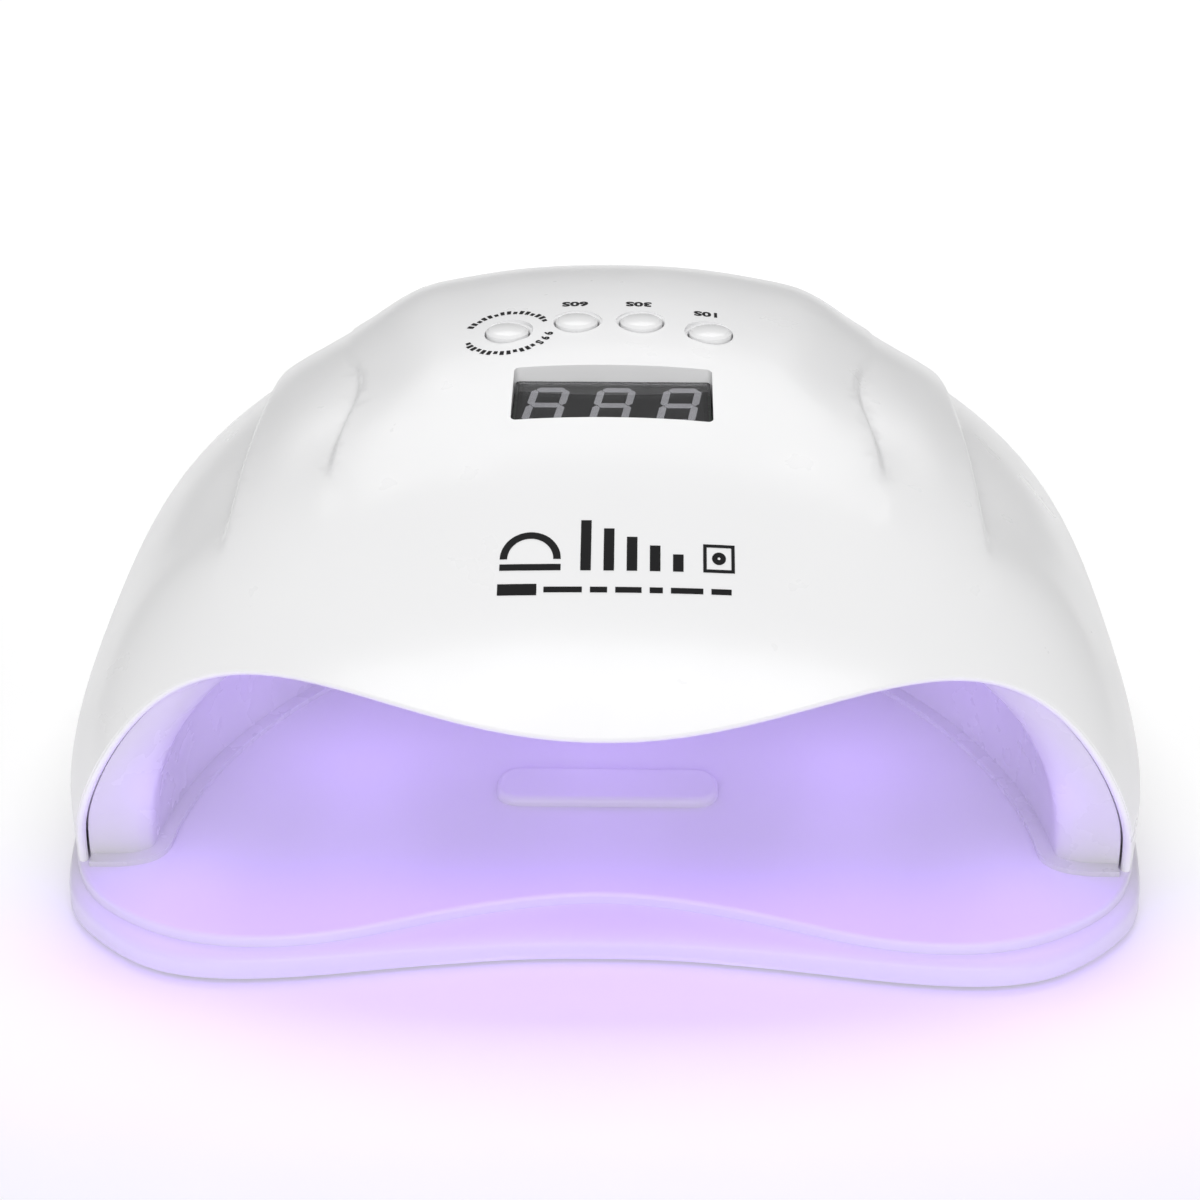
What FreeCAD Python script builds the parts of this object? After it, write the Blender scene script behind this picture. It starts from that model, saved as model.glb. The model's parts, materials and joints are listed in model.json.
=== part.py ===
"""Bench-top ultraviolet curing lamp: a domed white housing that stands on a lift-off base tray.

Frame: X to the right, Y from the hand opening to the back, Z up, origin at the bottom centre of the lamp.
All sizes are in millimetres.
"""
import FreeCAD, Part
import math
import os

V = FreeCAD.Vector
UP = V(0, 0, 1)
DOWN = V(0, 0, -1)

# ---------------------------------------------------------------- driving dimensions
HALF_WIDTH = 115.0          # housing, at the floor, half of its widest section
CREST = 97.0                # dome height before the crown panel is raised
DOME_FRONT = -96.0          # where the unbroken dome would reach the floor in front
DOME_BACK = 99.5            # back of the housing
SHOULDER_Z = 18.0           # below this the housing walls are upright
WIDEST_Y = -15.0            # station of the widest section
CREST_Y = 12.0              # station of the highest section
SHELL_WALL = 2.0
LINER_WALL = 1.5
SEAM_GAP = 0.5              # between the shell and the liner at the front rim

TRAY_TOP = 8.5              # plateau that the housing stands on
TRAY_SKIRT_Z = 0.8          # underside of the tray skirt; the feet reach the floor
TRAY_PLATE = 2.2            # thickness of the tray's plateau
TRAY_MARGIN = 1.7           # tray edge beyond the housing
PLATEAU_MARGIN = 0.6

OPENING_HALF = 110.6        # hand opening, at the tray
OPENING_RISE = 80.0         # arch height before the visor hangs down
OPENING_POWER = 1.92
VISOR_DIP = 38.8            # how far the visor hangs down at its middle

CHAMBER_HALF = 95.2         # hand chamber, at the tray
CHAMBER_FRONT = -66.0       # station of its full width
CHAMBER_BACK = 42.0
CEILING_Y = -18.0
CEILING = 59.0              # chamber height above the tray
MOUTH_Y = -69.5             # where the chamber's side walls start

FLANGE = 1.2                # liner foot flange
LIP = 3.2                   # how far the flange shows inside the chamber

BOARD_TOP = 85.0            # upper face of the control board
BOARD_THICK = 1.6
BUTTON_RADIUS = 4.7
BUTTON_GAP = 0.35
BUTTON_PLACES = [(-22.5, 5.4), (-7.2, 8.4), (7.2, 8.4), (22.5, 5.4)]
WINDOW_X = 1.2              # the display window sits a little right of the middle
WINDOW_HALF_X = 21.3
WINDOW_FRONT, WINDOW_BACK = -28.3, -10.3
WINDOW_Z = 91.6             # front edge of the display window
WINDOW_TILT = 7.0           # degrees, rising to the back
JACK_Z = 19.0

os.makedirs("parts", exist_ok=True)


# ---------------------------------------------------------------- small helpers
def export(name, shape):
    """Write one node; the shape must be valid closed solids."""
    solids = shape.Solids
    bad = [s for s in solids if not s.isValid() or s.Volume <= 0]
    print(f"{name:28s} solids {len(solids):3d}  volume {shape.Volume:10.1f}  bad {len(bad)}")
    if not solids or bad:
        raise RuntimeError(f"{name} is not made of valid solids")
    out = solids[0] if len(solids) == 1 else Part.makeCompound(solids)
    out.exportStep(f"parts/{name}.step")


def box(x0, x1, y0, y1, z0, z1):
    return Part.makeBox(x1 - x0, y1 - y0, z1 - z0, V(x0, y0, z0))


def cylinder(radius, height, at, axis=UP):
    return Part.makeCylinder(radius, height, at, axis)


def rounded_box(x0, x1, y0, y1, z0, z1, radius):
    """Box with its four upright edges rounded."""
    solid = box(x0, x1, y0, y1, z0, z1)
    upright = [e for e in solid.Edges if abs(e.Vertexes[0].Z - e.Vertexes[-1].Z) > 1e-6]
    return solid.makeFillet(radius, upright)


def turned(profile, at, axis=UP):
    """Solid of revolution of a (radius, height) outline about Z, then turned onto axis and moved to at."""
    points = [V(r, 0, h) for r, h in profile]
    face = Part.Face(Part.makePolygon(points + [points[0]]))
    return placed(face.revolve(V(0, 0, 0), UP, 360), at, axis)


def round_edge(radius, at_r, at_z, start, end, steps=5):
    """Outline points of a round edge about (at_r, at_z), from one angle to another in degrees."""
    points = []
    for i in range(steps + 1):
        angle = math.radians(start + (end - start) * i / steps)
        points.append((at_r + radius * math.cos(angle), at_z + radius * math.sin(angle)))
    return points


def placed(shape, at, axis=UP, cross=None):
    """Turn a shape made about Z so that its Z lies on axis (and X near cross), then move it to at."""
    z = V(axis).normalize()
    x = V(cross) if cross else (V(1, 0, 0) if abs(z.x) < 0.9 else V(0, 1, 0))
    x = x - z * x.dot(z)
    x.normalize()
    y = z.cross(x)
    matrix = FreeCAD.Matrix(x.x, y.x, z.x, at.x, x.y, y.y, z.y, at.y, x.z, y.z, z.z, at.z, 0, 0, 0, 1)
    out = shape.copy()
    out.Placement = FreeCAD.Placement(matrix).multiply(out.Placement)
    return out


def smooth(t):
    t = min(1.0, max(0.0, t))
    return t * t * (3 - 2 * t)


def superellipse(t, power):
    return max(0.0, 1 - abs(t) ** power) ** (1 / power)


def spline(points, closed=False):
    curve = Part.BSplineCurve()
    curve.interpolate(points, PeriodicFlag=closed)
    return curve.toShape()


def tube(points, radius, bend):
    """Round wire along straight runs joined by tangent arcs."""
    edges = []
    start = points[0]
    for before, corner, after in zip(points, points[1:], points[2:]):
        a = (before - corner).normalize()
        b = (after - corner).normalize()
        half_turn = (math.pi - a.getAngle(b)) / 2
        room = min((before - corner).Length, (after - corner).Length) * 0.45
        reach = min(room, bend * math.tan(half_turn))
        r = reach / math.tan(half_turn)
        middle = (a + b).normalize()
        centre = corner + middle * (r / math.cos(half_turn))
        p0, p1 = corner + a * reach, corner + b * reach
        edges.append(Part.LineSegment(start, p0).toShape())
        edges.append(Part.Arc(p0, centre - middle * r, p1).toShape())
        start = p1
    edges.append(Part.LineSegment(start, points[-1]).toShape())
    path = Part.Wire(edges)
    direction = (points[1] - points[0]).normalize()
    section = Part.Wire(Part.makeCircle(radius, points[0], direction))
    swept = path.makePipeShell([section], True, False)
    wanted = math.pi * radius ** 2 * path.Length
    if abs(swept.Volume - wanted) > 0.02 * wanted:
        raise RuntimeError(f"a wire swept to {swept.Volume:.1f}, not {wanted:.1f}")
    return swept


# ---------------------------------------------------------------- the dome, as a formula
def dome_half_width(y):
    if y > WIDEST_Y:
        return HALF_WIDTH * superellipse((y - WIDEST_Y) / (DOME_BACK - WIDEST_Y), 3.0)
    return HALF_WIDTH * superellipse((y - WIDEST_Y) / (DOME_FRONT - WIDEST_Y), 4.6)


def dome_crest(y):
    if y > CREST_Y:
        return CREST * superellipse((y - CREST_Y) / (DOME_BACK - CREST_Y), 2.8)
    return CREST * superellipse((y - CREST_Y) / (DOME_FRONT - CREST_Y), 2.35)


def in_dome(x, y, z):
    """True inside the smooth dome: superelliptic sections that stand on upright walls."""
    if not DOME_FRONT < y < DOME_BACK:
        return False
    half, crest = dome_half_width(y), dome_crest(y)
    if z >= crest or abs(x) >= half:
        return False
    wall = min(SHOULDER_Z, 0.35 * crest)
    if z <= wall:
        return True
    return (abs(x) / half) ** 2.15 + ((z - wall) / (crest - wall)) ** 2.15 < 1


def liner_half_width(y):
    reach = max(0.0, y - CHAMBER_FRONT) / (CHAMBER_BACK - CHAMBER_FRONT)
    return CHAMBER_HALF * superellipse(reach, 1.85)


def liner_crest(y):
    if y > CEILING_Y:
        return TRAY_TOP + CEILING * superellipse((y - CEILING_Y) / (CHAMBER_BACK - CEILING_Y), 2.6)
    return TRAY_TOP + CEILING * superellipse((CEILING_Y - y) / 86, 2.2)


def in_liner(x, y, z):
    """True inside the hand chamber, before its flared mouth."""
    if not -104 < y < CHAMBER_BACK:
        return False
    half, crest = liner_half_width(y), liner_crest(y)
    if z >= crest or abs(x) >= half:
        return False
    return (abs(x) / half) ** 2.6 + ((z - TRAY_TOP) / (crest - TRAY_TOP)) ** 2.6 < 1


def ray_point(inside, centre, u, v):
    """Surface point of a star-shaped hood. u runs left to right and v front to back, each -1 to 1."""
    p = u * math.sqrt(1 - v * v / 2)
    q = v * math.sqrt(1 - u * u / 2)
    rho = min(1.0, math.hypot(p, q))
    tilt = rho * math.pi / 2
    if rho < 1e-9:
        d = V(0, 0, 1)
    else:
        d = V(p / rho * math.sin(tilt), q / rho * math.sin(tilt), math.cos(tilt))
    low, high = 0.0, 260.0
    for _ in range(46):
        mid = (low + high) / 2
        at = centre + d * mid
        if inside(at.x, at.y, at.z):
            low = mid
        else:
            high = mid
    return centre + d * low


DOME_CENTRE = V(0, 10, TRAY_TOP)
LINER_CENTRE = V(0, -30, TRAY_TOP)


def grid_normal(point, u, v):
    """Outward normal of a hood given by point(u, v); level along the floor outline."""
    step = 1e-3
    if abs(u) > 1 - 1e-9 or v > 1 - 1e-9:
        if v > 1 - 1e-9:
            along = point(min(1, u + step), 1 if u < 1 - 1e-9 else 1 - step)
            back = point(max(-1, u - step), 1 if u > -1 + 1e-9 else 1 - step)
            tangent = back - along
        else:
            tangent = (point(u, v + step) - point(u, v - step)) * (1 if u > 0 else -1)
        normal = V(tangent.y, -tangent.x, 0)
    else:
        across = point(u + step, v) - point(u - step, v)
        along = point(u, v + step) - point(u, v - step)
        normal = across.cross(along)
    return normal.normalize()


# ---------------------------------------------------------------- outer shell: crown, two ridges a side
RIDGE_1, RIDGE_2 = 0.370, 0.540     # where the ridges run, as shares of the way down to the floor
RIDGE_1_FRONT, RIDGE_1_BACK = 0.395, 0.318      # the inner ridge draws in towards the back
CROWN_LIFT = 5.0
STEP_1, STEP_2 = 2.6, 3.0           # steps beside the ridges, in front
STEP_1_BACK, STEP_2_BACK = 0.5, 2.2     # and over the back
SHOULDER_LIFT = 1.5
STEP_RUN = 0.016


def terrace_drop(u, inner, y):
    """How far the surface steps down outside each ridge before it swells back to the dome.

    Each step starts near the visor, at its own station, and the inner skin steps a little nearer the crown.
    """
    a = abs(u) + (0.020 if inner else 0)
    drop = 0.0
    behind = smooth((y + 12) / 25)
    if a > RIDGE_1:
        swell = 1 - smooth((a - RIDGE_1) / (0.7 * (RIDGE_2 - RIDGE_1)))
        step = STEP_1 + (STEP_1_BACK - STEP_1) * behind
        drop += step * smooth((y + 40) / 22) * smooth((a - RIDGE_1) / STEP_RUN) * swell
    if a > RIDGE_2:
        swell = 1 - smooth((a - RIDGE_2) / (0.80 - RIDGE_2))
        step = STEP_2 + (STEP_2_BACK - STEP_2) * behind
        drop += step * smooth((y + 50) / 24) * smooth((a - RIDGE_2) / STEP_RUN) * swell
    return drop


def crown_lift(u):
    """The crown panel stands proud of the dome, and the shoulder beside it by a little."""
    panel = 1 - smooth((abs(u) - 0.70 * RIDGE_1) / (0.30 * RIDGE_1))
    shoulder = 1 - smooth((abs(u) - 0.90 * RIDGE_1) / (0.80 * (RIDGE_2 - RIDGE_1)))
    return (CROWN_LIFT - SHOULDER_LIFT) * panel + SHOULDER_LIFT * shoulder


def smooth_dome(u, v):
    """Point of the dome before the tiers; lines of equal u follow the two ridges."""
    a = abs(u)
    ridge = RIDGE_1_FRONT + (RIDGE_1_BACK - RIDGE_1_FRONT) * smooth((v + 0.30) / 0.55)
    share = smooth(a / RIDGE_1) if a < RIDGE_1 else smooth((RIDGE_2 - a) / (RIDGE_2 - RIDGE_1))
    return ray_point(in_dome, DOME_CENTRE, u + math.copysign((ridge - RIDGE_1) * share, u), v)


def shell_point(u, v, depth=0.0):
    """Point on the outer skin of the shell, or depth below it."""
    base = smooth_dome(u, v)
    normal = grid_normal(smooth_dome, u, v)
    floor_fade = smooth((base.z - 12) / 40)
    rise = crown_lift(u) * smooth((base.y + 38) / 75) * floor_fade
    rise -= terrace_drop(u, depth > 0, base.y) * floor_fade
    out = base + normal * (rise - depth)
    if abs(u) > 1 - 1e-9 or v > 1 - 1e-9:
        out.z = TRAY_TOP
    return out


def opening_value(at):
    """Negative inside the hand opening seen from the front: a low arch under a drooping visor."""
    x = min(1.2, abs(at.x) / OPENING_HALF)
    dip = VISOR_DIP / 2 * (1 + math.cos(math.pi * min(x, 1.0)))
    height = max(0.0, at.z - TRAY_TOP + dip)
    return x ** OPENING_POWER + (height / OPENING_RISE) ** OPENING_POWER - 1


def front_edge(u):
    """The v of the shell's front rim."""
    low, high = -1.0, 0.0
    for _ in range(26):
        mid = (low + high) / 2
        if opening_value(shell_point(u, mid)) < 0:
            low = mid
        else:
            high = mid
    return high


def mirrored(values):
    return [-v for v in reversed(values) if v > 0] + values


def around(ridge):
    return [ridge + d for d in (-0.022, -0.010, -0.003, 0.003, 0.008, 0.013, 0.020, 0.032)]


SHELL_U = mirrored([0.0, 0.08, 0.16, 0.22, 0.27, 0.31, 0.34] + around(RIDGE_1) + [0.45, 0.485, 0.515]
                   + around(RIDGE_2) + [0.63, 0.68, 0.73, 0.78, 0.83, 0.88, 0.925, 0.965, 0.99, 1.0])
OUTER_T = [0.0, 0.02, 0.06, 0.12, 0.19, 0.27, 0.35, 0.43, 0.51,
           0.59, 0.66, 0.73, 0.79, 0.85, 0.90, 0.945, 0.98, 1.0]
INNER_T = [0.0, 0.025, 0.08, 0.16, 0.26, 0.37, 0.48, 0.59, 0.69, 0.78, 0.86, 0.92, 0.96, 0.985, 1.0]
RIM_ANGLES = [30, 60, 90, 120, 150]


def skin_face(grid):
    """Smooth face through a grid of points, given as columns."""
    surface = Part.BSplineSurface()
    surface.interpolate(grid)
    return surface.toShape()


def edge_through(face, points):
    """The border of a face that runs through a row of points."""
    middle = Part.Vertex(points[len(points) // 2])
    return min(face.Edges, key=lambda edge: edge.distToShape(middle)[0])


def hood_solid(outer, inner, rim_rows):
    """Closed hood: an outer and an inner skin, joined along the rim and standing on one level foot.

    The skins are columns of points that start at the rim; rim_rows lie between the two, outer to inner.
    """
    outer_face, inner_face = skin_face(outer), skin_face(inner)
    lines = [edge_through(outer_face, [column[0] for column in outer])]
    lines += [spline(row) for row in rim_rows]
    lines.append(edge_through(inner_face, [column[0] for column in inner]))
    faces = [outer_face, inner_face]
    faces += [Part.makeRuledSurface(a, b) for a, b in zip(lines, lines[1:])]
    hood = Part.Compound(faces)
    hood.sewShape(1e-4)
    skin = hood.Shells[0]
    border = [e for e in skin.Edges if len(skin.ancestorsOfType(e, Part.Face)) == 1]
    foot = Part.Face(Part.Wire(Part.__sortEdges__(border)))
    closed = Part.Compound(skin.Faces + [foot])
    closed.sewShape(1e-4)
    solid = Part.Solid(closed.Shells[0])
    if solid.Volume < 0:
        solid.reverse()
    return solid


def rim_points(outer, inner, forward):
    """Half-round rim from the outer edge to the inner edge of a wall."""
    middle = (outer + inner) * 0.5
    half = (outer - inner) * 0.5
    radius = half.Length
    points = []
    for degrees in RIM_ANGLES:
        angle = math.radians(degrees)
        points.append(middle + half * math.cos(angle) + forward * (radius * math.sin(angle)))
    return points


def shell_strips():
    outer, inner, rims = [], [], []
    for u in SHELL_U:
        edge = front_edge(u)
        column_out = [shell_point(u, edge + (1 - edge) * t) for t in OUTER_T]
        column_in = [shell_point(u, edge + (1 - edge) * t, SHELL_WALL) for t in INNER_T]
        forward = (column_out[0] - column_out[1]).normalize()
        outer.append(column_out)
        inner.append(column_in)
        rims.append(rim_points(column_out[0], column_in[0], forward))
    return outer, inner, list(zip(*rims))


def skin_height(x, y, depth=0.0):
    """Height of the shell's crown over (x, y), found by Newton steps on u and v."""
    u, v = x / 150, (y - DOME_CENTRE.y) / 150
    for _ in range(8):
        at = shell_point(u, v, depth)
        du = shell_point(u + 0.002, v, depth) - at
        dv = shell_point(u, v + 0.002, depth) - at
        det = du.x * dv.y - du.y * dv.x
        ex, ey = x - at.x, y - at.y
        u += 0.002 * (ex * dv.y - ey * dv.x) / det
        v += 0.002 * (ey * du.x - ex * du.y) / det
    return shell_point(u, v, depth).z


def inside_piece(shape, wall):
    """The part of a boss that lies on the inner side of a wall it was drawn through."""
    pieces = shape.cut(wall).Solids
    return min(pieces, key=lambda piece: (piece.CenterOfMass - V(0, 0, 30)).Length)


def flared_hole(radius, lip, at, axis, depth):
    """Cutter for a round hole whose mouth, at the point at, is rounded outwards."""
    curve = round_edge(lip, radius + lip, -lip, 180, 90)
    return turned([(0, -depth)] + [(radius, -depth)] + curve + [(radius + lip, 4), (0, 4)], at, axis)


POST_Z = TRAY_TOP + 5.0
SCREW_PILOT = 1.3
CASE_SCREWS = [(106.3, -38.0), (106.0, 12.0), (88.0, 62.0), (38.0, 88.0)]
BOARD_POSTS = [(-33.0, -24.0), (33.0, -24.0), (-33.0, 18.0), (33.0, 18.0)]
VENT_SLOTS = [side * (24 + 5 * i) for side in (-1, 1) for i in range(5)]


def both_sides(places):
    return [(side * x, y) for x, y in places for side in (-1, 1)]


def window_frame():
    """Centre and upward normal of the tilted display window."""
    tilt = math.radians(WINDOW_TILT)
    along = (WINDOW_BACK - WINDOW_FRONT) / 2
    centre = V(WINDOW_X, WINDOW_FRONT + along, WINDOW_Z + along * math.tan(tilt))
    return centre, V(0, -math.sin(tilt), math.cos(tilt))


def in_window(shape):
    """Move a shape drawn about the origin into the display window."""
    centre, normal = window_frame()
    return placed(shape, centre, normal, V(1, 0, 0))


def make_top_shell():
    shell = hood_solid(*shell_strips())
    bosses = []
    for x, y in both_sides(CASE_SCREWS):
        post = cylinder(3.6, 16, V(x, y, POST_Z))
        outward = V(x, y - 10, 0).normalize()
        web = placed(box(0, 16, -0.9, 0.9, 0, 12), V(x, y, POST_Z), UP, outward)
        bosses.append(inside_piece(post.fuse(web), shell))
    for x, y in BOARD_POSTS:
        bosses.append(inside_piece(cylinder(3.0, 40, V(x, y, BOARD_TOP)), shell))
    left, right = WINDOW_X - WINDOW_HALF_X, WINDOW_X + WINDOW_HALF_X
    well = box(left - 1.6, right + 1.6, WINDOW_FRONT - 1.6, WINDOW_BACK + 1.6, 89.9, 110)
    bosses.append(inside_piece(well, shell))
    shell = shell.fuse(bosses)
    cuts = [cylinder(SCREW_PILOT, 13, V(x, y, POST_Z - 1)) for x, y in both_sides(CASE_SCREWS)]
    cuts += [cylinder(SCREW_PILOT, 6, V(x, y, BOARD_TOP - 1)) for x, y in BOARD_POSTS]
    for x, y in BUTTON_PLACES:
        cuts.append(flared_hole(BUTTON_RADIUS + BUTTON_GAP, 0.7, V(x, y, skin_height(x, y)), UP, 9))
    opening = rounded_box(left, right, WINDOW_FRONT, WINDOW_BACK, 80, 110, 1.2)
    cuts.append(opening)
    cuts.append(cylinder(4.1, 8, V(0, DOME_BACK + 3, JACK_Z), V(0, -1, 0)))
    cuts.append(cylinder(6.1, 4, V(0, DOME_BACK, JACK_Z), V(0, 1, 0)))
    for x in VENT_SLOTS:
        slot = rounded_box(x - 1.1, x + 1.1, 16, 34, -108, -84, 1.05)
        cuts.append(placed(slot, V(0, 0, 0), V(0, -1, 0), V(1, 0, 0)))
    return shell.cut(cuts)


# ---------------------------------------------------------------- liner: the white hand chamber
RIM_SHARES = [1.0, 0.975, 0.92, 0.82, 0.68, 0.52, 0.36, 0.21, 0.09, 0.02]
CHAMBER_T = [0.03, 0.08, 0.15, 0.24, 0.34, 0.44, 0.54, 0.64, 0.73, 0.81, 0.88, 0.94, 0.98, 1.0]
LINER_U = mirrored([0.0, 0.1, 0.2, 0.3, 0.4, 0.5, 0.6, 0.7, 0.78, 0.85, 0.91, 0.955, 0.985, 1.0])


def chamber_point(u, v):
    return ray_point(in_liner, LINER_CENTRE, u, v)


def mouth_v(u):
    """The v at which the chamber wall proper starts; deeper under the visor than at the jambs."""
    target = MOUTH_Y + 26 * (1 - smooth(abs(u)))
    low, high = -1.0, 0.5
    for _ in range(26):
        mid = (low + high) / 2
        if chamber_point(u, mid).y < target:
            low = mid
        else:
            high = mid
    return high


def liner_inner(u):
    """Chamber surface from the front rim, round a soft corner, to the tray at the back."""
    edge = front_edge(u)
    rim = shell_point(u, edge, SHELL_WALL + SEAM_GAP)
    start = mouth_v(u)
    span = 1 - start
    corner = 0.045 + 0.15 * (1 - smooth(abs(u)))
    power = 2.2 + 0.4 * smooth((abs(u) - 0.7) / 0.3)
    apart = rim - chamber_point(u, start)
    points = []
    for share in RIM_SHARES:
        run = corner * (1 - superellipse(1 - share, power))
        points.append(chamber_point(u, start + span * run) + apart * share)
    for t in CHAMBER_T:
        points.append(chamber_point(u, start + span * (corner + (1 - corner) * t)))
    if abs(u) > 1 - 1e-9:
        for at in points:
            at.z = TRAY_TOP
    points[-1].z = TRAY_TOP
    return points


def offset_grid(grid, distance):
    """Grid moved off itself along its own normals, level where it stands on the tray."""
    rows, last = [], len(grid) - 1
    for i, column in enumerate(grid):
        moved_column = []
        for j, at in enumerate(column):
            across = grid[min(i + 1, last)][j] - grid[max(i - 1, 0)][j]
            along = column[min(j + 1, len(column) - 1)] - column[max(j - 1, 0)]
            if i in (0, last):
                normal = V(along.y, -along.x, 0) * (-1 if i == 0 else 1)
            elif j == len(column) - 1:
                normal = V(across.y, -across.x, 0) * -1
            else:
                normal = across.cross(along)
            moved_column.append(at + normal.normalize() * distance)
        rows.append(moved_column)
    return rows


def liner_strips():
    inner = [liner_inner(u) for u in LINER_U]
    outer = offset_grid(inner, LINER_WALL)
    for u, column_out in zip(LINER_U, outer):
        edge = front_edge(u)
        column_out[0] = shell_point(u, edge + 0.009 * (1 - edge), SHELL_WALL + SEAM_GAP)
    return outer, inner, []



FLOOR_ROOM = 0.4            # between the liner flange and the shell wall
JAMB_X = 107.9              # ends of the chamber lip
SCREW_CUP = 5.0
MAGNET_RADIUS, MAGNET_HEIGHT = 5.0, 2.5
MAGNETS = [(103.0, -54.0), (66.0, 72.0)]
LED_PLACES = [(u, v) for v in (0.0, 0.25, 0.5) for u in (-0.36, -0.12, 0.12, 0.36)]
LED_PLACES += [(side * 0.58, v) for side in (-1, 1) for v in (-0.2, 0.05, 0.3, 0.52)]
LED_PLACES += [(side * 0.80, v) for side in (-1, 1) for v in (-0.16, 0.03, 0.22, 0.41, 0.60)]
LED_PLACES += [(side * u, 0.76) for u in (0.12, 0.36, 0.6) for side in (-1, 1)]
LED_HOLE = 3.1
LED_SEAT = 3.3              # the boards stand this far above the chamber surface
SENSOR_PLACE = (0.0, 0.64)


def chamber_seat(place):
    """Point on the chamber surface and its normal, pointing away from the hands."""
    u, v = place
    return chamber_point(u, v), grid_normal(chamber_point, u, v)


def border_path(grid):
    """Foot outline of a hood skin, from the left jamb round the back to the right jamb."""
    return grid[0] + [column[-1] for column in grid[1:-1]] + list(reversed(grid[-1]))


def shifted_path(path, distance):
    """A level outline moved to its right-hand side, seen along the way it runs."""
    out = []
    for i, at in enumerate(path):
        along = path[min(i + 1, len(path) - 1)] - path[max(i - 1, 0)]
        out.append(at + V(along.y, -along.x, 0).normalize() * distance)
    return out


def make_flange(liner_inner_skin, shell_inner_skin):
    """Plate that shows as a lip inside the chamber and reaches out to the shell wall."""
    lip = [at for at in shifted_path(border_path(liner_inner_skin), LIP) if abs(at.x) < JAMB_X - 0.5]
    lip = [V(-JAMB_X, lip[0].y, TRAY_TOP)] + lip + [V(JAMB_X, lip[-1].y, TRAY_TOP)]
    wall = [at for at in border_path(shell_inner_skin) if at.y > MOUTH_Y + 3]
    outside = shifted_path(wall, FLOOR_ROOM)
    edges = [spline(lip), spline(outside)]
    for end, start in ((outside[0], lip[0]), (outside[-1], lip[-1])):
        corner = V(start.x, end.y, TRAY_TOP)
        edges += [Part.makeLine(end, corner), Part.makeLine(corner, start)]
    return Part.Face(Part.Wire(Part.__sortEdges__(edges))).extrude(UP * FLANGE)


def make_liner():
    strips = liner_strips()
    liner = hood_solid(*strips)
    added = [make_flange(strips[1], shell_strips()[1])]
    cuts = []
    for x, y in both_sides(CASE_SCREWS):
        added.append(cylinder(SCREW_CUP, POST_Z - TRAY_TOP, V(x, y, TRAY_TOP)))
        cuts.append(cylinder(3.3, 3.0, V(x, y, TRAY_TOP)))
        cuts.append(cylinder(1.6, 6.0, V(x, y, TRAY_TOP)))
    for x, y in both_sides(MAGNETS):
        added.append(cylinder(MAGNET_RADIUS + 1.2, FLANGE + MAGNET_HEIGHT, V(x, y, TRAY_TOP)))
        cuts.append(cylinder(MAGNET_RADIUS + 0.1, MAGNET_HEIGHT, V(x, y, TRAY_TOP + FLANGE)))
    for place in LED_PLACES + [SENSOR_PLACE]:
        at, normal = chamber_seat(place)
        added.append(cylinder(5.4, LED_SEAT - 0.6, at + normal * 0.6, normal))
        cuts.append(flared_hole(LED_HOLE, 0.5, at, normal.negative(), 8))
    return liner.fuse(added).cut(cuts)


# ---------------------------------------------------------------- base tray
TRAY_FRONT = [(116.6, -38), (114.2, -64), (109.9, -79), (104.9, -85.4), (98, -91.6), (90, -96.4),
              (80, -98.9), (67, -99.0), (54, -97.4), (41, -95.1), (29, -93.2), (15, -91.5), (0, -91.0)]
PLATEAU_FRONT = [(115.4, -38), (112.5, -64), (107.0, -77.8), (102.0, -83.6), (95.8, -88.4),
                 (88.4, -92.4), (79, -95.2), (68.5, -95.9), (57.5, -94.6), (46, -91.3),
                 (34, -86.9), (17, -82.0), (0, -79.8)]
BACK_ANGLES = [4, 12, 22, 33, 45, 57, 68, 78, 86, 90]
TRAY_PROFILE = [(0.8, -0.06), (1.5, 0.0), (3.9, 0.0), (4.8, 0.10), (5.4, 0.30), (5.75, 0.62), (6.0, 1.0)]
FEET = [(84.0, -80.0), (80.0, 70.0)]
FOOT_RADIUS = 6.0
BAR = (-24.0, 25.0, -47.5, -34.0)


def plan_outline(margin, front):
    """Right half of a tray outline, from the back centre forward to the front centre."""
    points = []
    for degrees in reversed(BACK_ANGLES):
        angle = math.radians(degrees)
        x = (HALF_WIDTH + margin) * max(0.0, math.cos(angle)) ** (2 / 3)
        y = WIDEST_Y + (DOME_BACK - WIDEST_Y + margin) * math.sin(angle) ** (2 / 3)
        points.append((0.0 if degrees == 90 else x, y))
    return points + front


def closed_outline(half, z):
    right = [V(x, y, z) for x, y in half]
    left = [V(-x, y, z) for x, y in reversed(half[1:-1])]
    return Part.Wire(spline(right + left, True))


def blend_outline(share, z):
    outer = plan_outline(TRAY_MARGIN, TRAY_FRONT)
    inner = plan_outline(PLATEAU_MARGIN, PLATEAU_FRONT)
    half = [(a[0] + (b[0] - a[0]) * share, a[1] + (b[1] - a[1]) * share) for a, b in zip(outer, inner)]
    return closed_outline([(max(0.0, x), y) for x, y in half], z)


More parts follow.
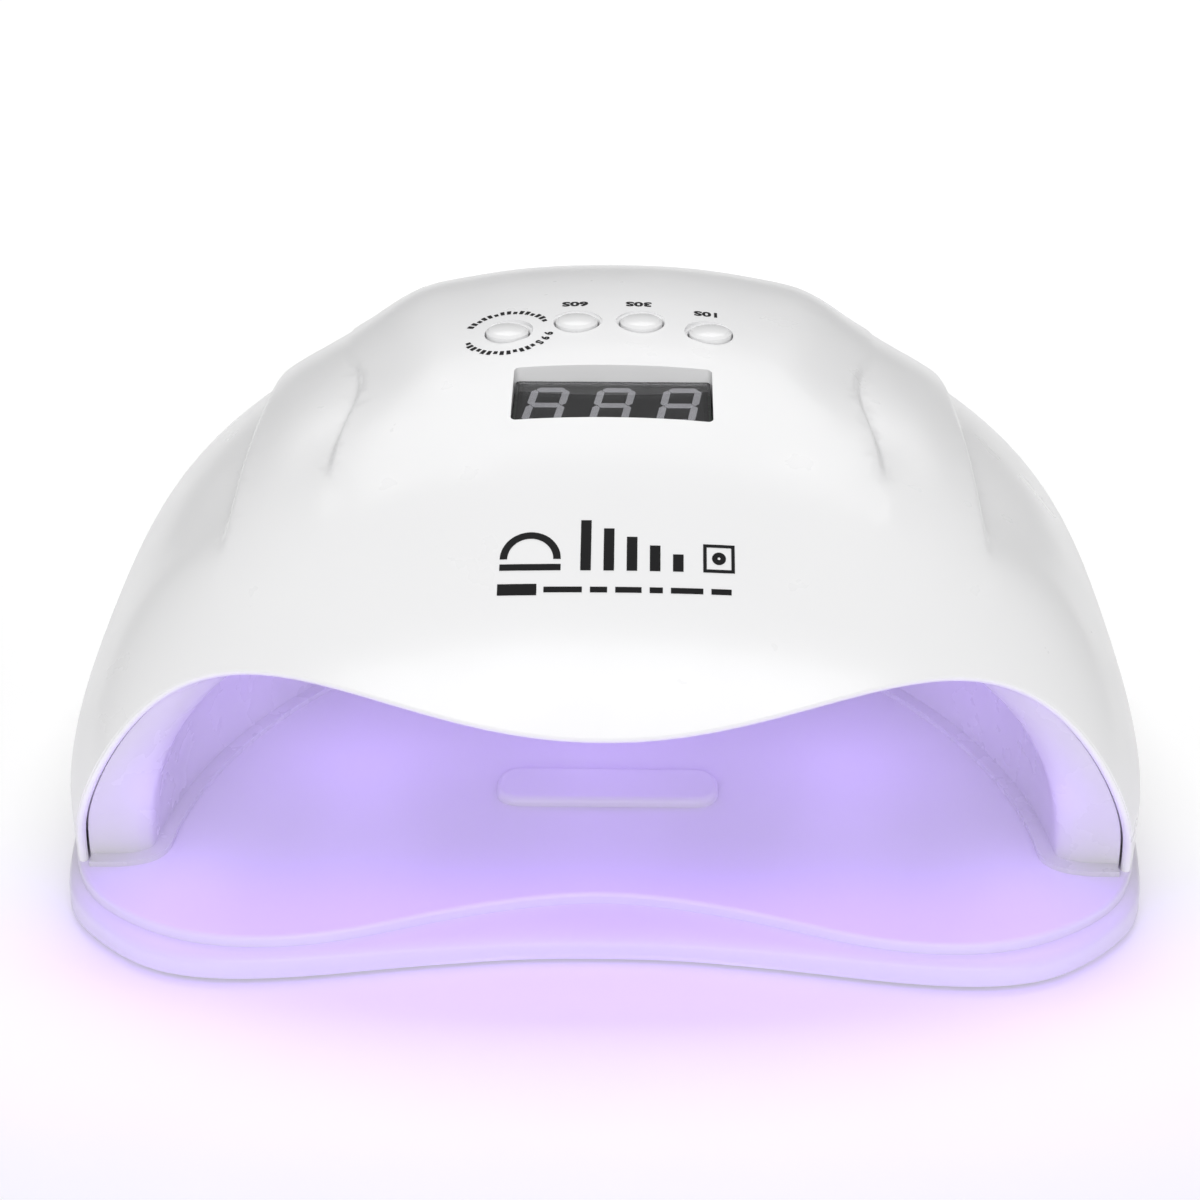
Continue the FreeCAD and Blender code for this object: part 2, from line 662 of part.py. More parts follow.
def make_tray():
    skirt = Part.makeLoft([blend_outline(share, z) for z, share in TRAY_PROFILE], True, False)
    deck_z = TRAY_PROFILE[-1][0]
    plateau = Part.Face(blend_outline(1.0, deck_z)).extrude(UP * (TRAY_TOP - deck_z))
    top_edges = [e for e in plateau.Edges if e.BoundBox.ZMin > TRAY_TOP - 0.01]
    plateau = plateau.makeFillet(0.8, top_edges)
    rim = [V(x, y, 0) for x, y in plan_outline(PLATEAU_MARGIN, PLATEAU_FRONT)]
    inset = [(at.x, at.y) for at in shifted_path(rim, 3.2)]
    inset[0], inset[-1] = (0.0, inset[0][1]), (0.0, inset[-1][1])
    cavity = Part.Face(closed_outline(inset, TRAY_SKIRT_Z - 1))
    cavity = cavity.extrude(UP * (TRAY_TOP - TRAY_PLATE - TRAY_SKIRT_Z + 1))
    tray = skirt.fuse(plateau).cut(cavity)
    under = TRAY_TOP - TRAY_PLATE
    added = [box(x - 0.8, x + 0.8, -75, 92, 1.8, under + 0.2) for x in (-45, 0, 45)]
    added += [box(-104, 104, y - 0.8, y + 0.8, 1.8, under + 0.2) for y in (-20, 30)]
    cuts = []
    for x, y in both_sides(FEET):
        added.append(cylinder(FOOT_RADIUS + 1.5, under + 0.2 - TRAY_SKIRT_Z, V(x, y, TRAY_SKIRT_Z)))
        cuts.append(cylinder(FOOT_RADIUS + 0.05, 2.4, V(x, y, TRAY_SKIRT_Z)))
    for x, y in both_sides(MAGNETS):
        added.append(cylinder(MAGNET_RADIUS + 1.2, under + 0.2 - 3.0, V(x, y, 3.0)))
        cuts.append(cylinder(MAGNET_RADIUS + 0.05, under - 3.0, V(x, y, 3.0)))
    x0, x1, y0, y1 = BAR
    bar = rounded_box(x0, x1, y0, y1, TRAY_TOP - 0.3, TRAY_TOP + 2.0, 5.0)
    bar = bar.makeFillet(1.5, [e for e in bar.Edges if e.BoundBox.ZMin > TRAY_TOP + 1.9])
    return tray.fuse(added + [bar]).cut(cuts)


# ---------------------------------------------------------------- fasteners, feet and magnets
def make_feet():
    shape = turned([(0, 0.5), (FOOT_RADIUS - 1.6, 0.5), (FOOT_RADIUS - 1.6, 0), (FOOT_RADIUS - 0.4, 0),
                    (FOOT_RADIUS, 0.4), (FOOT_RADIUS, 3.2), (0, 3.2)], V(0, 0, 0))
    return Part.makeCompound([placed(shape, V(x, y, 0)) for x, y in both_sides(FEET)])


def make_discs(z, height):
    return Part.makeCompound([cylinder(MAGNET_RADIUS, height, V(x, y, z)) for x, y in both_sides(MAGNETS)])


def pan_screw(head_radius, head_height, shank_radius, length, at, axis):
    """Pan-head screw; at is the seat of the head and the shank runs along axis."""
    outline = [(0, -head_height), (head_radius * 0.72, -head_height), (head_radius, -0.45 * head_height)]
    outline += [(head_radius, 0), (shank_radius, 0), (shank_radius, length - 1), (0.4, length), (0, length)]
    screw = turned(outline, at, axis)
    cross = [box(-1.3, 1.3, -0.3, 0.3, -head_height, -head_height + 0.9),
             box(-0.3, 0.3, -1.3, 1.3, -head_height, -head_height + 0.9)]
    return screw.cut([placed(slot, at, axis) for slot in cross])


def make_case_screws():
    screws = [pan_screw(2.9, 2.0, 1.25, 12, V(x, y, POST_Z - 2.0), UP) for x, y in both_sides(CASE_SCREWS)]
    return Part.makeCompound(screws)


def make_board_screws():
    under = BOARD_TOP - BOARD_THICK
    return Part.makeCompound([pan_screw(2.4, 1.6, 1.25, 6, V(x, y, under), UP) for x, y in BOARD_POSTS])


# ---------------------------------------------------------------- control board and what stands on it
BOARD = (-37.0, 37.0, -32.0, 22.0)
PIN_X = [WINDOW_X + x for x in (-10.0, -5.0, 0.0, 5.0, 10.0)]
PIN_Y = [WINDOW_FRONT + 3.0, WINDOW_BACK - 3.0]
SWITCH_HEIGHT = 3.5
CAPACITORS = [(-15.0, 16.5), (15.0, 16.5)]
CHIPS = [(-20.0, -14.0), (0.0, -22.0), (20.0, -14.0)]
CONNECTORS = [(-10.0, 17.5), (10.0, 17.5)]


def make_board():
    x0, x1, y0, y1 = BOARD
    board = rounded_box(x0, x1, y0, y1, BOARD_TOP - BOARD_THICK, BOARD_TOP, 3.0)
    holes = [cylinder(1.5, 4, V(x, y, BOARD_TOP - 3)) for x, y in BOARD_POSTS]
    holes += [cylinder(0.45, 4, V(x, y, BOARD_TOP - 3)) for x in PIN_X for y in PIN_Y]
    return board.cut(holes)


def make_switches():
    switches = []
    for x, y in BUTTON_PLACES:
        body = rounded_box(x - 3, x + 3, y - 3, y + 3, BOARD_TOP + 0.3, BOARD_TOP + SWITCH_HEIGHT, 0.5)
        legs = [box(x + sx * 2.2 - 0.5, x + sx * 2.2 + 0.5, y + sy * 3.3 - 0.6, y + sy * 3.3 + 0.6,
                    BOARD_TOP, BOARD_TOP + 0.8) for sx in (-1, 1) for sy in (-1, 1)]
        well = cylinder(1.7, 2.0, V(x, y, BOARD_TOP + SWITCH_HEIGHT - 2.0))
        switches.append(body.fuse(legs).cut(well))
    return Part.makeCompound(switches)


def make_button(x, y):
    """Cap, retaining collar and stem down into the switch, all one moulding."""
    top = skin_height(x, y) + 0.4
    collar = skin_height(x, y) - SHELL_WALL - 1.6
    tip = BOARD_TOP + SWITCH_HEIGHT - 1.1
    dome = 0.7
    reach = (BUTTON_RADIUS ** 2 + dome ** 2) / (2 * dome)
    outline = [(0, tip), (1.6, tip), (1.6, tip + 1.9), (2.1, tip + 2.0), (2.1, collar - 1.0)]
    outline += [(BUTTON_RADIUS + 1.5, collar - 1.0), (BUTTON_RADIUS + 1.5, collar), (BUTTON_RADIUS, collar)]
    outline += [(BUTTON_RADIUS, top - 0.3)]
    for i in range(1, 9):
        radius = (BUTTON_RADIUS - 0.15) * (1 - i / 8)
        outline.append((radius, top + dome - reach + math.sqrt(reach ** 2 - radius ** 2)))
    return turned(outline, V(x, y, 0))


def make_capacitors():
    can = turned([(0, 0), (3.6, 0), (3.6, 1.0), (3.15, 1.3), (3.15, 7.6), (2.9, 7.9), (0, 7.9)], V(0, 0, 0))
    return Part.makeCompound([placed(can, V(x, y, BOARD_TOP)) for x, y in CAPACITORS])


def make_inductor():
    under = BOARD_TOP - BOARD_THICK
    core = rounded_box(-6, 6, -10, 2, under - 5.5, under - 0.4, 2.0)
    plates = [box(side * 4.5 - 1.2, side * 4.5 + 1.2, -6.5, -1.5, under - 0.5, under) for side in (-1, 1)]
    return core.fuse(plates)


def make_chips():
    """Driver chips under the board and the controller on top, each with its rows of legs."""
    under = BOARD_TOP - BOARD_THICK
    chips = [chip(x, y, under, -1, 3) for x, y in CHIPS]
    chips.append(chip(0.0, -3.5, BOARD_TOP, 1, 7))
    return Part.makeCompound(chips)


def chip(x, y, z, side, legs):
    """Flat package with legs rows along X; side is 1 on top of the board and -1 under it."""
    half = 0.8 + 1.27 * (legs - 1) / 2
    low, high = sorted((z + side * 0.2, z + side * 1.7))
    body = box(x - half, x + half, y - 2, y + 2, low, high)
    feet = []
    for i in range(legs):
        at = x - half + 0.8 + 1.27 * i
        low, high = sorted((z, z + side * 0.6))
        feet.append(box(at - 0.2, at + 0.2, y - 3, y + 3, low, high))
    return body.fuse(feet)


def make_connectors():
    under = BOARD_TOP - BOARD_THICK
    out = []
    for x, y in CONNECTORS:
        shroud = box(x - 4, x + 4, y - 3, y + 3, under - 5.5, under)
        pocket = box(x - 3.2, x + 3.2, y - 1.5, y + 4, under - 4.8, under - 0.7)
        out.append(shroud.cut(pocket))
    return Part.makeCompound(out)


# ---------------------------------------------------------------- display
LENS = 1.2
GASKET = 0.5
MODULE = 4.3
DIGIT_PITCH, DIGIT_WIDTH, DIGIT_HEIGHT = 14.2, 8.2, 14.6
BAR_WIDTH = 1.5
SLANT = math.tan(math.radians(8))


def make_lens():
    half = WINDOW_HALF_X - 0.35
    return in_window(rounded_box(-half, half, -8.7, 8.7, -LENS, 0, 1.0))


def make_gasket():
    ring = box(-20.4, 20.4, -8.4, 8.4, -LENS - GASKET, -LENS)
    return in_window(ring.cut(box(-19.4, 19.4, -7.9, 7.9, -3, 0)))


def make_display_module():
    top = -LENS - GASKET
    body = in_window(box(-20.2, 20.2, -8.3, 8.3, top - MODULE, top))
    pins = [cylinder(0.3, 6.0, V(x, y, BOARD_TOP - BOARD_THICK - 0.8)) for x in PIN_X for y in PIN_Y]
    return body.fuse(pins)


def segment(x0, y0, x1, y1):
    """Hexagonal light bar between two digit corners, slanted like italic figures."""
    along = V(x1 - x0, y1 - y0, 0)
    side = V(-along.y, along.x, 0).normalize() * (BAR_WIDTH / 2)
    along.normalize()
    a, b = V(x0, y0, 0) + along * 0.25, V(x1, y1, 0) - along * 0.25
    tip = along * (BAR_WIDTH / 2)
    points = [a, a + tip + side, b - tip + side, b, b - tip - side, a + tip - side, a]
    level = -LENS - GASKET
    face = Part.Face(Part.makePolygon([V(p.x + p.y * SLANT, p.y, level) for p in points]))
    return face.extrude(UP * 0.25)


def make_segments():
    bars = []
    half_w, half_h = (DIGIT_WIDTH - BAR_WIDTH) / 2, (DIGIT_HEIGHT - BAR_WIDTH) / 2
    for i in (-1, 0, 1):
        x = i * DIGIT_PITCH
        left, right = x - half_w, x + half_w
        bars += [segment(left, y, right, y) for y in (-half_h, 0, half_h)]
        for at in (left, right):
            bars.append(segment(at, -half_h, at, 0))
            bars.append(segment(at, 0, at, half_h))
    return in_window(Part.makeCompound(bars))


# ---------------------------------------------------------------- lamps and hand sensor
def make_led_boards():
    boards = []
    for place in LED_PLACES:
        at, normal = chamber_seat(place)
        boards.append(cylinder(5.2, 1.2, at + normal * LED_SEAT, normal))
    return Part.makeCompound(boards)


def make_leds(places):
    """Domed clear beads that look into the chamber through the liner."""
    outline = [(0, LED_SEAT), (2.9, LED_SEAT), (2.9, LED_SEAT - 0.8), (2.6, LED_SEAT - 0.9), (2.6, 0.6)]
    for i in range(1, 7):
        angle = math.radians(15 * i)
        outline.append((2.6 * math.cos(angle), 0.6 - 1.9 * math.sin(angle)))
    outline[-1] = (0, outline[-1][1])
    beads = []
    for place in places:
        at, normal = chamber_seat(place)
        beads.append(turned(outline, at, normal))
    return Part.makeCompound(beads)


def make_sensor():
    """Infrared hand sensor: a dark window with its carrier behind the liner."""
    at, normal = chamber_seat(SENSOR_PLACE)
    window = cylinder(2.8, LED_SEAT - 0.2, at + normal * 0.2, normal)
    return window.fuse(cylinder(5.2, 2.2, at + normal * LED_SEAT, normal))


# ---------------------------------------------------------------- power inlet and wires
def along_back(shape, y):
    """Move a shape drawn along +Z so that it runs forward from the back wall."""
    return placed(shape, V(0, y, JACK_Z), V(0, -1, 0))


def make_jack():
    face = DOME_BACK + 1.1
    outline = [(2.75, 0.3), (3.05, 0), (5.3, 0), (5.6, 0.3),
               (5.6, 1.05), (4.0, 1.05), (4.0, 10.5), (3.4, 10.5)]
    outline += [(3.4, 14), (0, 14), (0, 9.5), (2.75, 9.5)]
    barrel = along_back(turned(outline, V(0, 0, 0)), face)
    tags = []
    for x in (-2.0, 2.0):
        tags.append(box(x - 0.9, x + 0.9, face - 19, face - 13.5, JACK_Z - 0.25, JACK_Z + 0.25))
    return barrel.fuse(tags)


def make_jack_pin():
    pin = turned([(0, 1.0), (0.6, 1.0), (1.0, 1.6), (1.0, 9.5), (0, 9.5)], V(0, 0, 0))
    return along_back(pin, DOME_BACK + 1.1)


def make_jack_nut():
    inner_wall = DOME_BACK - SHELL_WALL - 0.1
    turns = [math.radians(60 * i) for i in range(7)]
    corners = [V(6.2 * math.cos(turn), 6.2 * math.sin(turn), 0) for turn in turns]
    nut = Part.Face(Part.makePolygon(corners)).extrude(UP * 2.4).cut(cylinder(4.02, 3, V(0, 0, 0)))
    return along_back(nut, inner_wall)


def make_power_leads():
    leads = []
    for side in (-1, 1):
        route = [V(side * 2.0, DOME_BACK - 18.1, JACK_Z), V(side * 2.0, 72, 21), V(-3 + side * 1.8, 62, 31),
                 V(-6 + side * 1.6, 54, 45), V(-9 + side * 1.5, 46, 60), V(-10 + side * 1.4, 36, 73),
                 V(-10 + side * 1.4, 26, 80.5), V(-10 + side * 1.4, 17, 80.8)]
        leads.append(tube(route, 0.7, 12))
    return Part.makeCompound(leads)


def make_led_leads():
    at, normal = chamber_seat((0.12, 0.5))
    leads = []
    for side in (-1, 1):
        end = at + normal * (LED_SEAT + 1.3) + V(side * 1.4, 0, 0)
        route = [V(10 + side * 1.4, 17, 80.8), V(10 + side * 1.4, 26, 80.2), V(10 + side * 1.4, 33, 74),
                 end + normal * 8, end]
        leads.append(tube(route, 0.6, 8))
    return Part.makeCompound(leads)


# ---------------------------------------------------------------- write every piece
def main():
    export("base_tray", make_tray())
    export("rubber_feet", make_feet())
    export("tray_magnets", make_discs(3.2, TRAY_TOP - TRAY_PLATE - 3.2))
    export("top_shell", make_top_shell())
    export("reflector_liner", make_liner())
    export("lamp_magnets", make_discs(TRAY_TOP + FLANGE, MAGNET_HEIGHT))
    export("case_screws", make_case_screws())
    export("board_screws", make_board_screws())
    export("control_board", make_board())
    export("tact_switches", make_switches())
    for number, (x, y) in enumerate(BUTTON_PLACES, 1):
        export(f"button_{number}", make_button(x, y))
    export("capacitors", make_capacitors())
    export("inductor", make_inductor())
    export("chips", make_chips())
    export("connectors", make_connectors())
    export("display_lens", make_lens())
    export("display_gasket", make_gasket())
    export("display_module", make_display_module())
    export("display_segments", make_segments())
    export("led_boards", make_led_boards())
    export("leds_crown", make_leds(LED_PLACES[:12]))
    export("leds_shoulders", make_leds(LED_PLACES[12:20]))
    export("leds_sides", make_leds(LED_PLACES[20:30]))
    export("leds_rear", make_leds(LED_PLACES[30:]))
    export("hand_sensor", make_sensor())
    export("dc_jack", make_jack())
    export("jack_pin", make_jack_pin())
    export("jack_nut", make_jack_nut())
    export("power_leads", make_power_leads())
    export("led_leads", make_led_leads())


main()
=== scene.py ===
import json
import math

import bpy
from mathutils import Matrix, Vector
from mathutils.bvhtree import BVHTree

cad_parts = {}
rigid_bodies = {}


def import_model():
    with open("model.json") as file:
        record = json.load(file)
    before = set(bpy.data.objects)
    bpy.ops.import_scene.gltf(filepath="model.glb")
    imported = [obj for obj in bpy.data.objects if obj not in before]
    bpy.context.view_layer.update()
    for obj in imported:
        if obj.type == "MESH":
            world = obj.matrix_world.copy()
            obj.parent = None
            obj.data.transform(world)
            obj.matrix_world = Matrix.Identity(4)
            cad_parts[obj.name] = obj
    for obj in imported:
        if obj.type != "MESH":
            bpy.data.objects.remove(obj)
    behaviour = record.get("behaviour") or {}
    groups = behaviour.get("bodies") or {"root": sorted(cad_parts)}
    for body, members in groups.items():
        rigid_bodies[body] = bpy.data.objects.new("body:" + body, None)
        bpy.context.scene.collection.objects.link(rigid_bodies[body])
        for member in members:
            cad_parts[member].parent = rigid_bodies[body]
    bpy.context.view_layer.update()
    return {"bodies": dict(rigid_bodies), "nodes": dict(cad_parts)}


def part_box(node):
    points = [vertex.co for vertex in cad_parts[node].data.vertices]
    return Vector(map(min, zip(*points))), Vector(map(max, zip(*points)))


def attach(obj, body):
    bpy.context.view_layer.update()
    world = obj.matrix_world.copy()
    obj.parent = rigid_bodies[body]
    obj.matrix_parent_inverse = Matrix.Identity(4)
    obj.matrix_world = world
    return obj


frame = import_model()
nodes = frame["nodes"]

VIOLET = (0.36, 0.13, 1.0)
CHAMBER_VIOLET = (0.50, 0.33, 1.0)
INK = (0.012, 0.012, 0.014)
WHITE = (1.0, 1.0, 1.0)
PLASTIC_IOR = 1.49
SPECK_SCALE = 1900.0            # waves of the dust noise in a metre
SPECK_STRENGTH = 0.35
BRUSH_STRETCH = (1.0, 1.0, 12.0)


# ---------------------------------------------------------------- node helpers
def new_material(name):
    mat = bpy.data.materials.new(name)
    mat.use_nodes = True
    tree = mat.node_tree
    shader = tree.nodes["Principled BSDF"]
    return mat, tree, shader


def add(tree, kind, **values):
    node = tree.nodes.new(kind)
    for key, value in values.items():
        if key in node.inputs:
            node.inputs[key].default_value = value
        else:
            setattr(node, key, value)
    return node


def noise(tree, scale, detail=3.0, stretch=None):
    """Noise in the object's own space; stretch makes it longer along an axis."""
    place = add(tree, "ShaderNodeTexCoord")
    source = place.outputs["Object"]
    if stretch is not None:
        mapping = add(tree, "ShaderNodeMapping")
        mapping.inputs["Scale"].default_value = stretch
        tree.links.new(source, mapping.inputs["Vector"])
        source = mapping.outputs["Vector"]
    texture = add(tree, "ShaderNodeTexNoise", Scale=scale, Detail=detail)
    tree.links.new(source, texture.inputs["Vector"])
    return texture.outputs["Fac"]


def spread(tree, source, low, high, start=0.3, end=0.7):
    """A value that runs from low to high as the source runs from start to end."""
    node = add(tree, "ShaderNodeMapRange")
    node.inputs["From Min"].default_value = start
    node.inputs["From Max"].default_value = end
    node.inputs["To Min"].default_value = low
    node.inputs["To Max"].default_value = high
    tree.links.new(source, node.inputs["Value"])
    return node.outputs["Result"]


def blend_colours(tree, factor, first, second):
    node = add(tree, "ShaderNodeMix", data_type="RGBA")
    tree.links.new(factor, node.inputs[0])
    for socket, value in ((node.inputs[6], first), (node.inputs[7], second)):
        if isinstance(value, tuple):
            socket.default_value = (*value, 1.0)
        else:
            tree.links.new(value, socket)
    return node.outputs[2]


def bump(tree, shader, heights):
    """Bumps in series: each of heights is (source, strength, depth in metres)."""
    last = None
    for source, strength, depth in heights:
        node = add(tree, "ShaderNodeBump", Strength=strength, Distance=depth)
        tree.links.new(source, node.inputs["Height"])
        if last is not None:
            tree.links.new(last, node.inputs["Normal"])
        last = node.outputs["Normal"]
    tree.links.new(last, shader.inputs["Normal"])


def plastic(name, colour, rough, grain=3200.0, depth=0.00001, shade=0.03, coat=0.0):
    """Moulded plastic: slow tone drift, fine tool grain, faint scuffs and a few dust specks."""
    mat, tree, shader = new_material(name)
    drift = noise(tree, 18.0, 2.0)
    dark = tuple(c * (1.0 - shade) for c in colour)
    tone = blend_colours(tree, spread(tree, drift, 0.0, 1.0), colour, dark)
    specks = spread(tree, noise(tree, SPECK_SCALE, 1.0), 0.0, SPECK_STRENGTH, 0.76, 0.82)
    dusty = tuple(c * 0.9 for c in colour)
    tree.links.new(blend_colours(tree, specks, tone, dusty), shader.inputs["Base Color"])
    scuffs = noise(tree, 75.0, 4.0)
    tree.links.new(spread(tree, scuffs, rough - 0.03, rough + 0.04), shader.inputs["Roughness"])
    bump(
        tree,
        shader,
        [(noise(tree, grain, 2.0), 0.15, depth), (noise(tree, 9.0, 1.0), 0.12, 0.0002)],
    )
    shader.inputs["IOR"].default_value = PLASTIC_IOR
    shader.inputs["Coat Weight"].default_value = coat
    shader.inputs["Coat Roughness"].default_value = 0.12
    return mat


def metal(name, colour, rough):
    """Plated or turned metal with a faint brushed direction and tarnish."""
    mat, tree, shader = new_material(name)
    tarnish = spread(tree, noise(tree, 260.0, 4.0), 0.0, 1.0, 0.35, 0.75)
    dull = tuple(c * 0.62 for c in colour)
    tree.links.new(blend_colours(tree, tarnish, colour, dull), shader.inputs["Base Color"])
    lines = noise(tree, 1400.0, 3.0, BRUSH_STRETCH)
    tree.links.new(spread(tree, lines, rough - 0.08, rough + 0.12), shader.inputs["Roughness"])
    bump(tree, shader, [(lines, 0.3, 0.00001)])
    shader.inputs["Metallic"].default_value = 1.0
    return mat


def finish_with(node, mat):
    """Gives a CAD node's object one material, in each of its own material slots."""
    obj = nodes[node]
    if not obj.material_slots:
        obj.data.materials.append(None)
    for place in obj.material_slots:
        place.link = "OBJECT"
        place.material = mat


# ------------------------------------------------------------------- materials
housing = plastic("housing_white", (0.86, 0.86, 0.865), 0.30, shade=0.02, coat=0.15)
liner = plastic("liner_white", (0.84, 0.83, 0.86), 0.26, grain=2200.0, shade=0.03, coat=0.2)
tray = plastic("tray_white", (0.84, 0.83, 0.86), 0.34, shade=0.03)
button = plastic("button_white", (0.88, 0.88, 0.885), 0.22, grain=4200.0, depth=0.000006, coat=0.3)
rubber = plastic("foot_rubber", (0.045, 0.045, 0.048), 0.72, grain=1500.0, depth=0.00004, shade=0.25)
foam = plastic("foam_black", (0.03, 0.03, 0.032), 0.9, grain=1100.0, depth=0.0001, shade=0.3)
display = plastic("display_black", (0.035, 0.036, 0.04), 0.42, grain=2600.0, shade=0.2)
switch = plastic("switch_black", (0.03, 0.03, 0.03), 0.4, shade=0.2)
jack = plastic("jack_black", (0.028, 0.028, 0.03), 0.38, shade=0.2, depth=0.00002)
ivory = plastic("connector_ivory", (0.78, 0.72, 0.58), 0.42, shade=0.06)
wire = plastic("power_wire", (0.45, 0.02, 0.02), 0.4, shade=0.12)
thin_wire = plastic("led_wire", (0.62, 0.6, 0.56), 0.42, shade=0.1)
ink = plastic("printed_ink", INK, 0.5, grain=5200.0, shade=0.3)
nickel = metal("magnet_nickel", (0.72, 0.71, 0.68), 0.26)
steel = metal("screw_steel", (0.55, 0.55, 0.56), 0.34)
aluminium = metal("can_aluminium", (0.78, 0.79, 0.8), 0.3)
contact = metal("contact_metal", (0.76, 0.72, 0.62), 0.22)


def circuit_board(name, colour, line_colour):
    """Solder mask over copper: raised tracks as a brick grid under a green or white lacquer."""
    mat, tree, shader = new_material(name)
    place = add(tree, "ShaderNodeTexCoord")
    tracks = add(tree, "ShaderNodeTexBrick", Scale=260.0)
    tracks.inputs["Color1"].default_value = (*colour, 1.0)
    tracks.inputs["Color2"].default_value = (*(c * 0.86 for c in colour), 1.0)
    tracks.inputs["Mortar"].default_value = (*line_colour, 1.0)
    tracks.inputs["Mortar Size"].default_value = 0.03
    tree.links.new(place.outputs["Object"], tracks.inputs["Vector"])
    tree.links.new(tracks.outputs["Color"], shader.inputs["Base Color"])
    gloss = spread(tree, noise(tree, 300.0), 0.22, 0.4)
    tree.links.new(gloss, shader.inputs["Roughness"])
    bump(tree, shader, [(tracks.outputs["Fac"], 0.4, 0.00004)])
    return mat


board = circuit_board("board_green", (0.02, 0.16, 0.06), (0.05, 0.3, 0.12))
led_board = circuit_board("led_board", (0.8, 0.8, 0.78), (0.66, 0.66, 0.62))


def smoke_glass():
    """Dark tinted acrylic with a hard polish, faint finger marks and hairlines."""
    mat, tree, shader = new_material("smoke_glass")
    marks = noise(tree, 110.0, 4.0)
    smear = spread(tree, marks, 0.0, 1.0)
    tint = blend_colours(tree, smear, (0.36, 0.36, 0.375), (0.30, 0.30, 0.315))
    tree.links.new(tint, shader.inputs["Base Color"])
    tree.links.new(spread(tree, marks, 0.015, 0.06, 0.45, 0.75), shader.inputs["Roughness"])
    bump(tree, shader, [(noise(tree, 40.0, 1.0), 0.08, 0.00005)])
    shader.inputs["Transmission Weight"].default_value = 1.0
    shader.inputs["IOR"].default_value = PLASTIC_IOR
    return mat


glass = smoke_glass()


def segment_bars_painted_glow():
    """Unlit bars of the digits: milky grey diffuser with a slight cast grain, and a painted glow, as
    they emit light though they are not lit.
    """
    mat, tree, shader = new_material("segment_grey")
    cloud = spread(tree, noise(tree, 700.0, 3.0), 0.0, 1.0)
    milk = blend_colours(tree, cloud, (0.80, 0.80, 0.80), (0.70, 0.70, 0.70))
    tree.links.new(milk, shader.inputs["Base Color"])
    tree.links.new(spread(tree, noise(tree, 2000.0), 0.4, 0.6), shader.inputs["Roughness"])
    # Painted glow: the unlit bars emit a grey-white light so that they show through the smoked lens.
    shader.inputs["Emission Color"].default_value = (0.8, 0.8, 0.82, 1.0)
    shader.inputs["Emission Strength"].default_value = 0.9
    return mat


painted_glow_segments = segment_bars_painted_glow()


def lit_bead(strength):
    """A lit diode's clear cap: bright middle, dimmer where the mould flash scatters."""
    mat, tree, shader = new_material("led_bead")
    cloud = noise(tree, 2400.0, 2.0)
    flash = spread(tree, cloud, 0.0, 1.0)
    colour = blend_colours(tree, flash, (0.50, 0.26, 1.0), (0.36, 0.14, 1.0))
    tree.links.new(colour, shader.inputs["Emission Color"])
    shader.inputs["Base Color"].default_value = (0.7, 0.62, 0.95, 1.0)
    tree.links.new(spread(tree, cloud, 0.1, 0.25), shader.inputs["Roughness"])
    shader.inputs["Emission Strength"].default_value = strength
    return mat


bead = lit_bead(0.5)
sensor = plastic("sensor_window", (0.05, 0.012, 0.03), 0.12, grain=5000.0, shade=0.2, coat=0.5)

finishes = {
    housing: ["top_shell"],
    liner: ["reflector_liner"],
    tray: ["base_tray"],
    rubber: ["rubber_feet"],
    nickel: ["tray_magnets", "lamp_magnets"],
    steel: ["case_screws", "board_screws"],
    board: ["control_board"],
    switch: ["tact_switches", "inductor", "chips"],
    button: ["button_1", "button_2", "button_3", "button_4"],
    aluminium: ["capacitors"],
    ivory: ["connectors"],
    glass: ["display_lens"],
    foam: ["display_gasket"],
    display: ["display_module"],
    painted_glow_segments: ["display_segments"],
    led_board: ["led_boards"],
    bead: ["leds_crown", "leds_shoulders", "leds_sides", "leds_rear"],
    sensor: ["hand_sensor"],
    jack: ["dc_jack"],
    contact: ["jack_pin", "jack_nut"],
    wire: ["power_leads"],
    thin_wire: ["led_leads"],
}
for mat, names in finishes.items():
    for name in names:
        finish_with(name, mat)


# ---------------------------------------------------------------- printed marks
def surface_of(node):
    mesh = nodes[node].data
    corners = [v.co.copy() for v in mesh.vertices]
    faces = [tuple(p.vertices) for p in mesh.polygons]
    return BVHTree.FromPolygons(corners, faces)


shell_surface = surface_of("top_shell")
INK_LIFT = 0.00004
INK_THICK = 0.00005
RAY_BACK = 0.25                 # how far off the shell each ray starts


def lay_on_shell(points, heading):
    """Moves each (point, lift) along the heading on to the shell, then off it by the lift."""
    laid = []
    for point, lift in points:
        start = point - heading * RAY_BACK
        hit, normal, _, _ = shell_surface.ray_cast(start, heading)
        if hit is None:
            raise RuntimeError("a printed mark runs off the shell")
        laid.append(hit + normal * lift)
    return laid


def printed(name, outline_faces, corners, heading, body="lamp"):
    """A thin printed film laid on the shell from flat faces, with its own edge and underside."""
    top = lay_on_shell([(c, INK_LIFT + INK_THICK) for c in corners], heading)
    low = lay_on_shell([(c, INK_LIFT) for c in corners], heading)
    count = len(corners)
    faces = [tuple(f) for f in outline_faces]
    faces += [tuple(i + count for i in reversed(f)) for f in outline_faces]
    seen = {}
    for face in outline_faces:
        for i, j in zip(face, list(face[1:]) + [face[0]]):
            seen[(i, j)] = seen.get((i, j), 0) + 1
    for i, j in seen:
        if (j, i) not in seen:
            faces.append((j, i, i + count, j + count))
    mesh = bpy.data.meshes.new(name)
    mesh.from_pydata(top + low, [], faces)
    mesh.materials.append(ink)
    mesh.validate()
    obj = bpy.data.objects.new(name, mesh)
    bpy.context.scene.collection.objects.link(obj)
    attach(obj, body)


